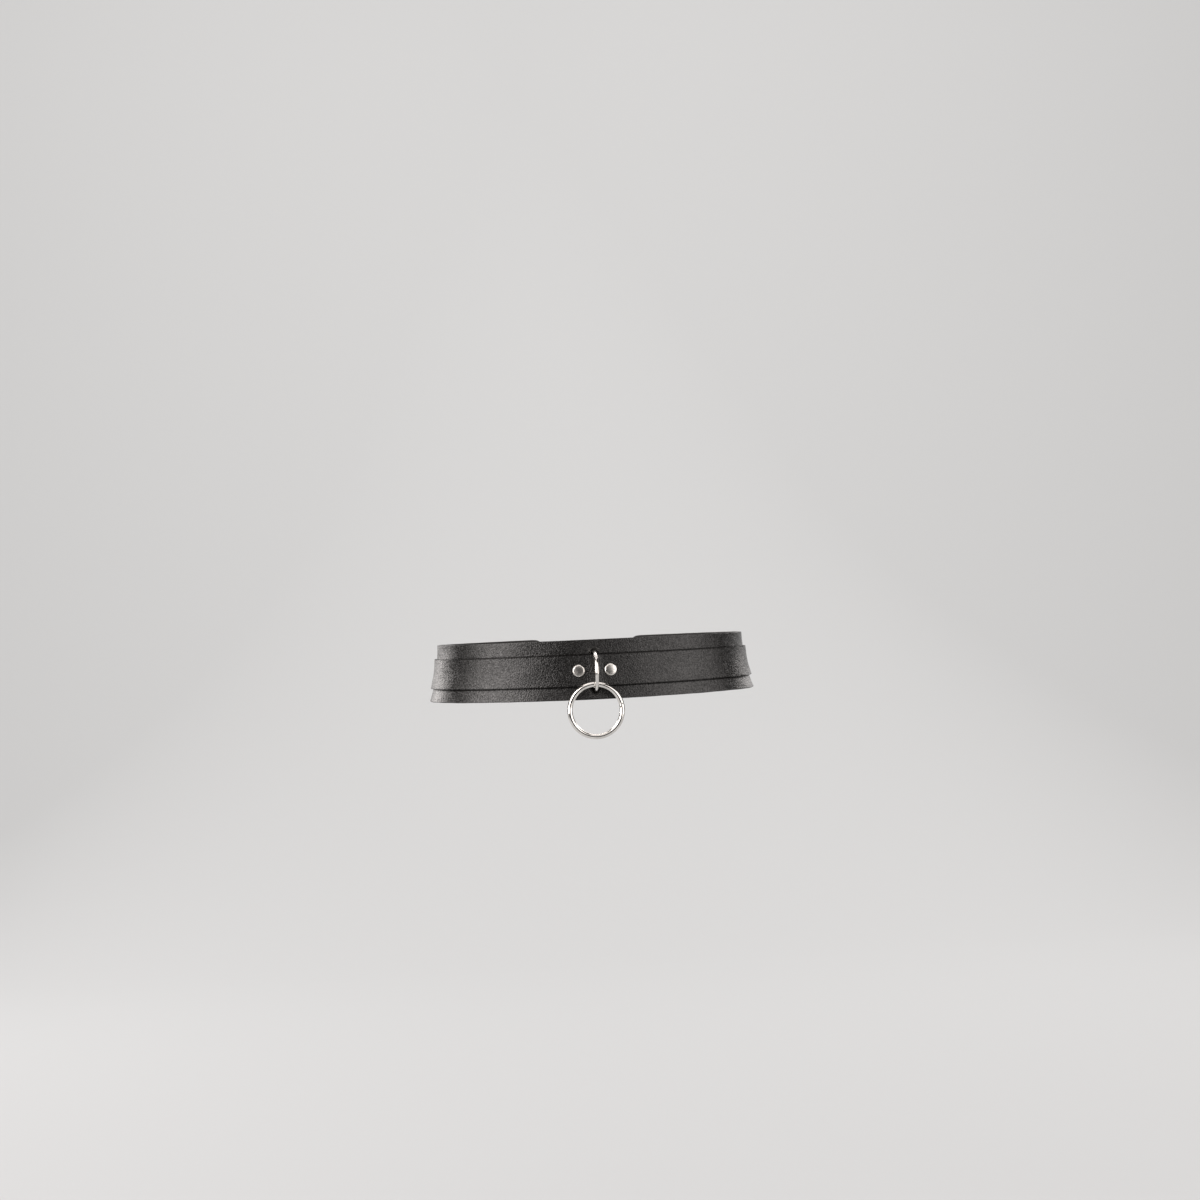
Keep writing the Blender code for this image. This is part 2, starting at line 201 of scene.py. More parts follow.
def finishPiece(name, bm, body, node, materials):
    mesh = bpy.data.meshes.new(name)
    bm.to_mesh(mesh)
    bm.free()
    mesh.shade_smooth()
    for material in materials:
        mesh.materials.append(material)
    piece = bpy.data.objects.new(name, mesh)
    bpy.context.scene.collection.objects.link(piece)
    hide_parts(node)
    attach(piece, body)
    return piece


def flatSheet(columns, rows):
    # A flat grid with x along the leather and y up it
    bm = bmesh.new()
    across = len(columns) - 1
    high = len(rows) - 1
    bmesh.ops.create_grid(bm, x_segments=across, y_segments=high, size=0.5)
    for vert in bm.verts:
        column = columns[round((vert.co.x + 0.5) * across)]
        row = rows[round((vert.co.y + 0.5) * high)]
        vert.co = (column, row, 0.0)
    return bm


def storeUvs(bm):
    layerUv = bm.loops.layers.uv.new("leather")
    for face in bm.faces:
        for loop in face.loops:
            loop[layerUv].uv = loop.vert.co.xy


def addWall(piece, thickness, side, edgeRound):
    # Gives the sheet its thickness, with the back and the cut edge in their own materials
    wall = piece.modifiers.new("wall", "SOLIDIFY")
    wall.thickness = thickness
    wall.offset = side
    wall.use_even_offset = True
    wall.use_quality_normals = True
    wall.material_offset = 1
    wall.material_offset_rim = 2
    edges = piece.modifiers.new("edges", "BEVEL")
    edges.width = edgeRound
    edges.segments = 2
    edges.limit_method = "ANGLE"
    edges.angle_limit = math.radians(60)
    edges.harden_normals = False
    smooth = piece.modifiers.new("smooth", "SUBSURF")
    smooth.levels = 1
    smooth.render_levels = 1


def sweepWire(bm, path, sides, closed):
    # Extrudes a round section from place to place. path holds (point, side direction, radius).
    places = []
    last = len(path) - 1
    for index, (point, side, radius) in enumerate(path):
        if closed:
            forward = path[(index + 1) % len(path)][0] - path[index - 1][0]
        else:
            forward = path[min(index + 1, last)][0] - path[max(index - 1, 0)][0]
        forward.normalize()
        across = (side - forward * side.dot(forward)).normalized()
        turned = Matrix((across, forward.cross(across), forward)).transposed().to_4x4()
        turned.translation = point
        places.append(turned @ Matrix.Diagonal((radius, radius, radius, 1.0)))
    made = bmesh.ops.create_circle(bm, cap_ends=False, segments=sides, radius=1.0, matrix=places[0])
    ring = list({edge for vert in made["verts"] for edge in vert.link_edges})
    first = ring
    for before, after in zip(places, places[1:]):
        grown = bmesh.ops.extrude_edge_only(bm, edges=ring)["geom"]
        verts = [item for item in grown if isinstance(item, bmesh.types.BMVert)]
        fresh = set(verts)
        ring = [
            item for item in grown
            if isinstance(item, bmesh.types.BMEdge) and item.verts[0] in fresh and item.verts[1] in fresh
        ]
        bmesh.ops.transform(bm, matrix=after @ before.inverted(), verts=verts)
    if closed:
        bmesh.ops.bridge_loops(bm, edges=first + ring)
    else:
        bmesh.ops.edgeloop_fill(bm, edges=first)
        bmesh.ops.edgeloop_fill(bm, edges=ring)
    bmesh.ops.recalc_face_normals(bm, faces=bm.faces)


def arcPoints(centreX, centreY, radius, start, stop, steps):
    # Angles in degrees, both ends included
    points = []
    for index in range(steps + 1):
        angle = math.radians(start + (stop - start) * index / steps)
        points.append((centreX + radius * math.cos(angle), centreY + radius * math.sin(angle)))
    return points


# Materials

def newMaterial(name):
    material = bpy.data.materials.new(name)
    material.use_nodes = True
    nodes = material.node_tree.nodes
    return material, nodes, material.node_tree.links, nodes["Principled BSDF"]


def addNoise(nodes, links, place, scale, detail, roughness=0.5):
    noise = nodes.new("ShaderNodeTexNoise")
    noise.inputs["Scale"].default_value = scale
    noise.inputs["Detail"].default_value = detail
    noise.inputs["Roughness"].default_value = roughness
    links.new(place, noise.inputs["Vector"])
    return noise.outputs["Fac"]


def addRange(nodes, links, value, low, high, toLow, toHigh):
    span = nodes.new("ShaderNodeMapRange")
    span.inputs["From Min"].default_value = low
    span.inputs["From Max"].default_value = high
    span.inputs["To Min"].default_value = toLow
    span.inputs["To Max"].default_value = toHigh
    links.new(value, span.inputs["Value"])
    return span.outputs["Result"]


def addBump(nodes, links, height, depth, strength, before=None):
    bump = nodes.new("ShaderNodeBump")
    bump.inputs["Distance"].default_value = depth
    bump.inputs["Strength"].default_value = strength
    links.new(height, bump.inputs["Height"])
    if before is not None:
        links.new(before, bump.inputs["Normal"])
    return bump.outputs["Normal"]


def addMath(nodes, links, operation, first, second=None):
    # Each value is a socket or a number
    result = nodes.new("ShaderNodeMath")
    result.operation = operation
    for index, value in enumerate((first, second)):
        if isinstance(value, (int, float)):
            result.inputs[index].default_value = value
        elif value is not None:
            links.new(value, result.inputs[index])
    return result.outputs["Value"]


def addMix(nodes, links, share, dark, light):
    mix = nodes.new("ShaderNodeMix")
    mix.data_type = "RGBA"
    mix.inputs["A"].default_value = (*dark, 1.0)
    mix.inputs["B"].default_value = (*light, 1.0)
    links.new(share, mix.inputs["Factor"])
    return mix.outputs["Result"]


grain = {
    "pebble": 1180.0,        # grain cells per metre
    "pebbleDepth": 0.00021,
    "warp": 649.0,           # bends per metre that put the cells out of true
    "warpReach": 0.0006,
    "mottle": 800.0,
    "patches": 38.0,
    "pore": 3600.0,
    "poreDepth": 0.00003,
    "dark": (0.0016, 0.0015, 0.0014),
    "light": (0.0078, 0.0072, 0.0068),
    "smoothest": 0.185,
    "roughest": 0.27,
    "valleyRough": 0.10,     # how much rougher the leather is between its pebbles
    "paintedShadeInner": 0.0003,   # painted shade: a thin line of less shine along the strap's edges, on the strap and on the band, standing in for the contact shadow there
    "paintedShadeOuter": 0.0010,
    "paintedShadeShine": 0.20,
    "leastShine": 0.32,      # the shine comes and goes from pebble to pebble
    "mostShine": 0.66,
}

# The leather's unfinished back and its painted cut edge
plainLeather = {
    "backDark": (0.010, 0.0094, 0.0090),
    "backLight": (0.024, 0.0222, 0.0210),
    "backRoughness": 0.88,
    "fibreDepth": 0.00012,
    "edgeDark": (0.0030, 0.0028, 0.0027),
    "edgeWorn": (0.012, 0.0107, 0.0097),
    "edgeShine": 0.30,
    "edgeSmoothest": 0.34,
    "edgeRoughest": 0.50,
}

# Plated metal: its bright and dull colours, its roughness and how deep it is scratched
nickel = {
    "ringNickel": {
        "bright": (0.78, 0.76, 0.73), "dull": (0.66, 0.64, 0.61),
        "smoothest": 0.06, "roughest": 0.14, "scratch": 0.000004,
    },
    "rivetNickel": {
        "bright": (0.74, 0.72, 0.69), "dull": (0.58, 0.56, 0.53),
        "smoothest": 0.18, "roughest": 0.36, "scratch": 0.000010,
    },
    "buckleNickel": {
        "bright": (0.72, 0.70, 0.66), "dull": (0.60, 0.58, 0.54),
        "smoothest": 0.14, "roughest": 0.26, "scratch": 0.000006,
    },
}


def makeGrainLeather(name, seed):
    material, nodes, links, shader = newMaterial(name)
    where = nodes.new("ShaderNodeTexCoord")
    shift = nodes.new("ShaderNodeMapping")
    shift.inputs["Location"].default_value = (seed, seed * 0.7, seed * 0.3)
    links.new(where.outputs["Object"], shift.inputs["Vector"])
    place = shift.outputs["Vector"]

    # The cells are bent out of true so that no two pebbles are alike
    warp = nodes.new("ShaderNodeTexNoise")
    warp.inputs["Scale"].default_value = grain["warp"]
    warp.inputs["Detail"].default_value = 2.0
    links.new(place, warp.inputs["Vector"])
    bend = nodes.new("ShaderNodeVectorMath")
    bend.operation = "MULTIPLY_ADD"
    bend.inputs[1].default_value = [grain["warpReach"]] * 3
    links.new(warp.outputs["Color"], bend.inputs[0])
    links.new(place, bend.inputs[2])
    cells = nodes.new("ShaderNodeTexVoronoi")
    cells.feature = "SMOOTH_F1"
    cells.inputs["Scale"].default_value = grain["pebble"]
    cells.inputs["Smoothness"].default_value = 0.35
    links.new(bend.outputs["Vector"], cells.inputs["Vector"])
    pebbles = addRange(nodes, links, cells.outputs["Distance"], 0.15, 0.75, 1.0, 0.0)
    pores = addNoise(nodes, links, place, grain["pore"], 3.0)
    patches = addNoise(nodes, links, place, grain["patches"], 3.0)
    mottle = addNoise(nodes, links, place, grain["mottle"], 3.0, 0.6)

    coarse = addBump(nodes, links, pebbles, grain["pebbleDepth"], 0.6)
    normal = addBump(nodes, links, pores, grain["poreDepth"], 0.5, coarse)
    links.new(normal, shader.inputs["Normal"])
    tone = addRange(nodes, links, mottle, 0.3, 0.7, 0.0, 1.0)
    links.new(addMix(nodes, links, tone, grain["dark"], grain["light"]), shader.inputs["Base Color"])
    shine = addRange(nodes, links, patches, 0.3, 0.7, grain["smoothest"], grain["roughest"])
    valleys = addRange(nodes, links, pebbles, 0.0, 0.7, grain["valleyRough"], 0.0)
    links.new(addMath(nodes, links, "ADD", shine, valleys), shader.inputs["Roughness"])

    # Painted shade: a thin line of less shine along the strap's edges, on the strap and on the band
    # alike, stands in for the contact shadow where the strap lies on the band. The strap's edges stand
    # at the same height on the strap and on the band
    uv = nodes.new("ShaderNodeUVMap")
    uv.uv_map = "leather"
    split = nodes.new("ShaderNodeSeparateXYZ")
    links.new(uv.outputs["UV"], split.inputs["Vector"])
    height = addMath(nodes, links, "ABSOLUTE", split.outputs["Y"])
    away = addMath(nodes, links, "ABSOLUTE", addMath(nodes, links, "SUBTRACT", height, strapHalf))
    inner = grain["paintedShadeInner"]
    outer = grain["paintedShadeOuter"]
    # painted shade: the shine drops along the strap's edges, where the contact shadow would fall
    paintedShadeDim = addRange(nodes, links, away, inner, outer, grain["paintedShadeShine"], 1.0)
    spots = addRange(nodes, links, mottle, 0.35, 0.65, grain["leastShine"], grain["mostShine"])
    links.new(addMath(nodes, links, "MULTIPLY", paintedShadeDim, spots), shader.inputs["Specular IOR Level"])
    shader.inputs["IOR"].default_value = 1.50
    return material


def makeFleshSide(name):
    # The unfinished back of the leather
    material, nodes, links, shader = newMaterial(name)
    where = nodes.new("ShaderNodeTexCoord").outputs["Object"]
    fibres = addNoise(nodes, links, where, 1400.0, 5.0, 0.65)
    blotches = addNoise(nodes, links, where, 90.0, 3.0)
    color = addMix(nodes, links, blotches, plainLeather["backDark"], plainLeather["backLight"])
    links.new(color, shader.inputs["Base Color"])
    links.new(addBump(nodes, links, fibres, plainLeather["fibreDepth"], 0.7), shader.inputs["Normal"])
    shader.inputs["Roughness"].default_value = plainLeather["backRoughness"]
    return material


def makeCutEdge(name):
    # Edge paint over the cut, worn thin in places
    material, nodes, links, shader = newMaterial(name)
    where = nodes.new("ShaderNodeTexCoord").outputs["Object"]
    runs = addNoise(nodes, links, where, 900.0, 4.0, 0.6)
    worn = addRange(nodes, links, addNoise(nodes, links, where, 210.0, 3.0), 0.52, 0.72, 0.0, 1.0)
    color = addMix(nodes, links, worn, plainLeather["edgeDark"], plainLeather["edgeWorn"])
    links.new(color, shader.inputs["Base Color"])
    links.new(addBump(nodes, links, runs, 0.00006, 0.5), shader.inputs["Normal"])
    smoothest = plainLeather["edgeSmoothest"]
    roughest = plainLeather["edgeRoughest"]
    links.new(addRange(nodes, links, runs, 0.3, 0.7, smoothest, roughest), shader.inputs["Roughness"])
    shader.inputs["Specular IOR Level"].default_value = plainLeather["edgeShine"]
    return material


def makeNickel(name):
    facts = nickel[name]
    material, nodes, links, shader = newMaterial(name)
    where = nodes.new("ShaderNodeTexCoord").outputs["Object"]
    clouds = addNoise(nodes, links, where, 160.0, 4.0, 0.6)
    haze = addRange(nodes, links, clouds, 0.35, 0.70, 0.0, 1.0)
    links.new(addMix(nodes, links, haze, facts["bright"], facts["dull"]), shader.inputs["Base Color"])
    stretch = nodes.new("ShaderNodeMapping")
    stretch.inputs["Scale"].default_value = (1.0, 0.22, 1.0)
    stretch.inputs["Rotation"].default_value = (0.35, 0.5, 0.2)
    links.new(where, stretch.inputs["Vector"])
    lines = addNoise(nodes, links, stretch.outputs["Vector"], 5200.0, 3.0, 0.7)
    dings = addNoise(nodes, links, where, 420.0, 2.0)
    fine = addBump(nodes, links, lines, facts["scratch"], 0.35)
    links.new(addBump(nodes, links, dings, facts["scratch"] * 5, 0.3, fine), shader.inputs["Normal"])
    rough = addRange(nodes, links, clouds, 0.3, 0.75, facts["smoothest"], facts["roughest"])
    links.new(rough, shader.inputs["Roughness"])
    shader.inputs["Metallic"].default_value = 1.0
    return material


bandGrain = makeGrainLeather("bandLeather", 0.0)
strapGrain = makeGrainLeather("strapLeather", 0.37)
fleshSide = makeFleshSide("fleshSide")
cutEdge = makeCutEdge("cutEdge")
ringNickel = makeNickel("ringNickel")
rivetNickel = makeNickel("rivetNickel")
buckleNickel = makeNickel("buckleNickel")
print("materials made")


# The band

def bandLevel(distance, height):
    level = leatherWave(distance, height)
    if abs(distance) < band["dentReach"]:
        across = (1 + math.cos(math.pi * distance / band["dentReach"])) / 2
        above = ease((height - band["dentBottom"]) / band["dentFade"])
        below = ease((band["dentTop"] - height) / band["dentFade"])
        level -= band["dentDepth"] * across * above * below
    return level


def makeBand():
    end = halfLoop - band["endFromBack"]
    straight = end - band["endCorner"]
    corner = [end - line for line in cornerLines(band["endCorner"], 7)]
    near = meshSteps["frontReach"]
    stops = [(0.0, near, meshSteps["front"]), (near, straight, meshSteps["long"])]
    right = spacedLines(stops)[:-1] + corner[::-1]
    columns = [-line for line in right[:0:-1]] + right
    count = meshSteps["bandRows"]
    rows = [bandBottom + band["width"] * index / count for index in range(count + 1)]
    bm = flatSheet(columns, rows)
    storeUvs(bm)
    for vert in bm.verts:
        distance, height = vert.co.x, vert.co.y
        reach = endReach(end - abs(distance), band["endCorner"], band["width"] / 2)
        height = band["rise"] + (height - band["rise"]) * reach
        vert.co = beltFrame(distance, height, bandLevel(distance, height)).translation
    piece = finishPiece(
        "waistBand", bm, "belt", "waist_band", (bandGrain, fleshSide, cutEdge)
    )
    addWall(piece, band["thickness"], -1.0, band["edgeRound"])


makeBand()
print("band made")


# The D-ring, standing edge-on with its bar between the strap and the band

dRing = {
    "wire": 0.0030,
    "innerHeight": 0.0257,
    "corner": 0.0018,
    "arm": 0.0030,
    "turn": math.radians(4.0),
    "barLevel": -0.0008,
    "top": 0.0138,
}

# The round ring that hangs from it
oRing = {
    "wire": 0.0040,
    "innerDiameter": 0.0350,
    "seamAngle": 15.0,       # where the wire's two ends meet
    "seamGap": 0.0002,
    "seamRound": 0.0003,
    "strapGap": 0.0010,
    "lean": math.radians(2.6),   # the worn belt is tipped that much, and the ring hangs plumb
}

rivet = {
    "spacing": 0.0238,
    "capDiameter": 0.0094,
    "capHeight": 0.0019,
    "dome": 0.00022,
    "rim": 0.0012,
    "post": 0.0030,
    "backDiameter": 0.0080,
    "backHeight": 0.0013,
    "fromBandEnd": 0.0070,
    "lean": math.radians(1.4),   # hammered down a little out of true
}

humpReach = (rivet["spacing"] - rivet["capDiameter"]) / 2
humpLevel = dRing["barLevel"] + dRing["wire"] / 2 + strap["gap"] + strap["thickness"] / 2
dBottom = dRing["top"] - dRing["innerHeight"] - dRing["wire"]
dBow = (dRing["top"] - dBottom) / 2


def placeOfDRing():
    # X outwards from the bar, Y up and Z along the belt
    bar = beltFrame(0.0, (dRing["top"] + dBottom) / 2, dRing["barLevel"])
    plane = Matrix(((0, 0, -1, 0), (0, 1, 0, 0), (1, 0, 0, 0), (0, 0, 0, 1)))
    return bar @ Matrix.Rotation(dRing["turn"], 4, "Y") @ plane


def makeDRing():
    corner = dRing["corner"]
    outline = arcPoints(corner, -dBow + corner, corner, 180, 270, 8)
    outline += arcPoints(dRing["arm"], 0.0, dBow, -90, 90, 64)
    outline += arcPoints(corner, dBow - corner, corner, 90, 180, 8)
    outline += [(0.0, dBow - corner - (2 * dBow - 2 * corner) * step / 8) for step in range(1, 8)]
    place = placeOfDRing()
    side = place.to_3x3() @ Vector((0, 0, 1))
    path = [(place @ Vector((out, up, 0.0)), side, dRing["wire"] / 2) for out, up in outline]
    bm = bmesh.new()
    sweepWire(bm, path, 24, True)
    finishPiece("dRing", bm, "d_ring", "d_ring", (ringNickel,))


def makeORing():
    radius = (oRing["innerDiameter"] + oRing["wire"]) / 2
    wireCentre = humpLevel + strap["thickness"] / 2 + oRing["strapGap"] + oRing["wire"] / 2
    reach = wireCentre - dRing["barLevel"]
    arm = -math.sqrt(dBow ** 2 - max(reach - dRing["arm"], 0.0) ** 2)
    rest = arm + dRing["wire"] / 2 + strap["gap"] + oRing["wire"] / 2
    hang = Vector((math.sin(oRing["lean"]), 0.0, math.cos(oRing["lean"]))) * radius
    centre = placeOfDRing() @ Vector((reach, rest, 0.0)) - hang
    half = math.degrees(oRing["seamGap"] / radius) / 2
    cut = math.degrees(oRing["seamRound"] / radius)
    start = oRing["seamAngle"] + half
    stop = oRing["seamAngle"] + 360 - half
    thin = oRing["wire"] / 2 - oRing["seamRound"]
    full = oRing["wire"] / 2
    turns = [(start, thin), (start + cut * 0.3, full - oRing["seamRound"] * 0.3)]
    for index in range(121):
        turns.append((start + cut + (stop - start - 2 * cut) * index / 120, full))
    turns += [(stop - cut * 0.3, full - oRing["seamRound"] * 0.3), (stop, thin)]
    path = []
    for angle, wireRadius in turns:
        turn = math.radians(angle) - oRing["lean"]
        point = centre + Vector((math.cos(turn), 0.0, math.sin(turn))) * radius
        path.append((point, Vector((0, 1, 0)), wireRadius))
    bm = bmesh.new()
    sweepWire(bm, path, 28, False)
    finishPiece("oRing", bm, "o_ring", "o_ring", (ringNickel,))


makeDRing()
makeORing()
print("rings made")


# The rivets

def makeRivet(name, node, distance):
    under = strapOutside - 0.00005
    top = under + rivet["capHeight"]
    cap = rivet["capDiameter"] / 2
    rim = rivet["rim"]
    post = rivet["post"] / 2
    back = rivet["backDiameter"] / 2
    inside = -band["thickness"] + 0.00005
    flat = cap - rim
    profile = []
    for index in range(8):
        share = index / 8
        profile.append((flat * share, top - rivet["dome"] * share ** 2))
    rimTop = top - rivet["dome"]
    profile += arcPoints(flat, rimTop - rim, rim, 84, -35, 9)
    profile += [(cap - rim * 0.55, under), (post, under), (post, inside), (back * 0.92, inside)]
    backMiddle = inside - rivet["backHeight"] / 2
    profile += arcPoints(back - rivet["backHeight"] / 2, backMiddle, rivet["backHeight"] / 2, 60, -80, 6)
    profile += [(back * 0.5, inside - rivet["backHeight"]), (0.0, inside - rivet["backHeight"])]
    bm = bmesh.new()
    verts = [bm.verts.new((radius, 0.0, height)) for radius, height in profile]
    edges = [bm.edges.new(pair) for pair in zip(verts, verts[1:])]
    bmesh.ops.spin(
        bm, geom=verts + edges, cent=(0, 0, 0), axis=(0, 0, 1), dvec=(0, 0, 0),
        angle=2 * math.pi, steps=56, use_merge=True, use_duplicate=False,
    )
    bmesh.ops.remove_doubles(bm, verts=bm.verts, dist=1e-6)
    bmesh.ops.recalc_face_normals(bm, faces=bm.faces)
    place = beltFrame(distance, 0.0, strapOutside)
    lean = Matrix.Rotation(math.copysign(rivet["lean"], distance), 4, "Y")
    turned = place @ lean @ Matrix.Translation((0.0, 0.0, -strapOutside))
    bmesh.ops.transform(bm, matrix=turned, verts=bm.verts)
    finishPiece(name, bm, "belt", node, (rivetNickel,))


bandRivet = halfLoop - band["endFromBack"] - rivet["fromBandEnd"]
for name, node, distance in (
    ("rivetLeft", "rivet_left", -rivet["spacing"] / 2),
    ("rivetRight", "rivet_right", rivet["spacing"] / 2),
    ("bandRivetLeft", "band_rivet_left", -bandRivet),
    ("bandRivetRight", "band_rivet_right", bandRivet),
):
    makeRivet(name, node, distance)
print("rivets made")


# The strap

def carrierLevel(pastBar):
    return strapLevel + (wrapLevel - strapLevel) * ease(1 - pastBar / strap["foldEase"])


def foldLevel(pastBar):
    flat = strapLevel - layer
    return flat + (-wrapLevel - flat) * ease(1 - pastBar / strap["foldEase"])


def tailLevel(pastBar):
    if pastBar >= 0:
        return carrierLevel(pastBar) + layer
    climb = buckle["length"] - buckle["wire"] / 2
    return strapLevel + (wrapLevel + layer - strapLevel) * ease(1 + pastBar / climb)


def levelOfStrap(distance):
    if abs(distance) < humpReach:
        hump = (1 + math.cos(math.pi * distance / humpReach)) / 2
        return strapLevel + (humpLevel - strapLevel) * hump
    if distance < 0:
        return tailLevel(-halfLoop - distance)
    return carrierLevel(halfLoop - distance)


def strapRoute():
    # (distance, level) from the tail's tip, past the front and round the buckle's bar
    tip = -halfLoop - strap["tail"]
    step = meshSteps["bend"]
    outward = spacedLines([(tip, halfLoop, step)])[:-1]
    route = [(distance, levelOfStrap(distance)) for distance in outward]
    route += [(halfLoop + out, level) for out, level in arcPoints(0.0, 0.0, wrapLevel, 90, -90, 40)]
    for pastBar in spacedLines([(0.0, strap["fold"], step)])[1:]:
        route.append((halfLoop - pastBar, foldLevel(pastBar)))
    return np.array(route)


def rivetDimple(distance, height):
    # The caps press the strap in a little
    dip = 0.0
    for side in (-0.5, 0.5):
        away = math.hypot(distance - side * rivet["spacing"], height) - rivet["capDiameter"] / 2
        dip += 0.00008 * ease(1 - away / 0.0025)
    return dip


def makeStrap():
    route = strapRoute()
    steps = np.linalg.norm(np.diff(route, axis=0), axis=1)
    lengths = np.concatenate(([0.0], np.cumsum(steps)))
    total = float(lengths[-1])
    bar = float(lengths[np.argmax(route[:, 0] >= halfLoop)])
    outward = slice(0, int(np.argmax(route[:, 0] >= halfLoop)))
    front = float(np.interp(0.0, route[outward, 0], lengths[outward]))
    bend = math.pi * wrapLevel

    # Lines stand at the middle and the two sides of each hole
    hole = strap["holeRadius"]
    tip = cornerLines(strapHalf, 9)
    centres = []
    for index in range(-strap["holesBefore"], strap["holesAfter"] + 1):
        alongTail = -halfLoop + strap["holeFromBar"] + strap["holePitch"] * index
        centres.append(float(np.interp(alongTail, route[outward, 0], lengths[outward])))
    stops = []
    reached = strapHalf
    for centre in centres:
        if centre - hole > reached:
            stops.append((reached, centre - hole, meshSteps["holes"]))
        stops += [(centre - hole, centre, hole), (centre, centre + hole, hole)]
        reached = centre + hole
    near = meshSteps["frontReach"]
    stops += [
        (reached, front - near, meshSteps["long"]),
        (front - near, front + near, meshSteps["front"]),
        (front + near, bar, meshSteps["long"]),
        (bar, bar + bend, meshSteps["bend"]),
        (bar + bend, total, meshSteps["fold"]),
    ]
    columns = tip + spacedLines(stops)
    upper = [hole, 0.0043, 0.0068, 0.0092, 0.0112, strapHalf]
    rows = [-line for line in upper[::-1]] + [0.0] + upper
    bm = flatSheet(columns, rows)

    # The holes, and the slot that the tongue comes through
    for centre in centres:
        middle = [
            vert for vert in bm.verts
            if abs(vert.co.x - centre) < 1e-5 and abs(vert.co.y) < 1e-6
        ]
        rim = {vert for face in middle[0].link_faces for vert in face.verts} - set(middle)
        bmesh.ops.delete(bm, geom=middle, context="VERTS")
        for vert in rim:
            away = Vector((vert.co.x - centre, vert.co.y, 0.0)).normalized() * hole
            vert.co = (centre + away.x, away.y, 0.0)
    slot = [
        face for face in bm.faces
        if bar < face.calc_center_median().x < bar + bend and abs(face.calc_center_median().y) < hole
    ]
    bmesh.ops.delete(bm, geom=slot, context="FACES")
    storeUvs(bm)
    for vert in bm.verts:
        along = vert.co.x
        distance = float(np.interp(along, lengths, route[:, 0]))
        level = float(np.interp(along, lengths, route[:, 1]))
        height = vert.co.y * endReach(along, strapHalf, strapHalf)
        level += leatherWave(distance, height) - rivetDimple(distance, height)
        vert.co = beltFrame(distance, height, level).translation
    piece = finishPiece(
        "frontStrap", bm, "belt", "front_strap", (strapGrain, fleshSide, cutEdge)
    )
    addWall(piece, strap["thickness"], 0.0, strap["edgeRound"])


makeStrap()
print("strap made")


# The buckle

def makeBuckle():
    wireHalf = buckle["wire"] / 2
    frontBar = strapOutside + strap["gap"] + wireHalf
    half = strapHalf + buckle["sideRoom"] + wireHalf
    corner = buckle["corner"]
    far = buckle["length"] - corner
    outline = arcPoints(corner, half - corner, corner, 180, 90, 8)
    outline += [(corner + (far - corner) * step / 12, half) for step in range(1, 12)]
    outline += arcPoints(far, half - corner, corner, 90, 0, 8)
    outline += [(buckle["length"], (half - corner) * (1 - step / 10)) for step in range(1, 10)]
    outline += [(forward, -up) for forward, up in outline[-10::-1]]
    outline += [(0.0, -(half - corner) + (half - corner) * step / 10) for step in range(1, 20)]
    path = []
    for forward, up in outline:
        place = beltFrame(halfLoop + forward, up, frontBar * ease(forward / buckle["length"]))
        path.append((place.translation, place.col[2].to_3d(), wireHalf))
    bm = bmesh.new()
    sweepWire(bm, path, 20, True)

    # The tongue, through the tail's hole and over the front bar
    hole = strap["holeFromBar"]
    under = tailLevel(-hole) - strap["thickness"] / 2
    over = tailLevel(-hole) + strap["thickness"] / 2
    thin = buckle["tongueWire"] / 2
    rest = frontBar + wireHalf + thin - 0.0002
    stations = (
        (0.0, 0.0), (hole * 0.45, 0.0), (hole * 0.85, under * 0.3), (hole, under * 0.75), (hole, over),
        (hole + thin * 0.4, over + thin), (hole + thin * 1.5, rest + thin * 0.2),
        (hole + thin * 4.0, rest + thin * 0.4),
        ((hole + buckle["length"]) / 2 + thin * 2, rest + thin * 0.3), (buckle["length"], rest),
        (buckle["length"] + buckle["tongueTip"], rest - thin * 0.4),
    )
    forwards = np.array(stations)
    reach = np.concatenate(([0.0], np.cumsum(np.linalg.norm(np.diff(forwards, axis=0), axis=1))))
    path = []
    for index in range(61):
        at = reach[-1] * index / 60
        forward = float(np.interp(at, reach, forwards[:, 0]))
        level = float(np.interp(at, reach, forwards[:, 1]))
        left = reach[-1] - at
        shrink = 0.55 + 0.45 * ease(left / 0.006)
        if left < 0.0006:
            shrink *= 0.72
        place = beltFrame(halfLoop + forward, 0.0, level)
        path.append((place.translation, place.col[1].to_3d(), thin * shrink))
    sweepWire(bm, path, 16, False)
    finishPiece("backBuckle", bm, "belt", "back_buckle", (buckleNickel,))


makeBuckle()
print("buckle made")


# The room: a pale floor that curves up into a backdrop

room = {
    "floor": -0.50,
    "front": -1.7,
    "back": 2.2,
    "curve": 0.9,
    "top": 3.2,
    "halfWidth": 3.2,
    "nearColor": (0.165, 0.17, 0.175),
    "farColor": (0.27, 0.28, 0.285),
    "shadeStart": -0.3,      # the shade runs by how far back and how high a place is, together
    "shadeStop": 3.4,
    "glow": 0.41,            # keeps the far ends of the room pale
}


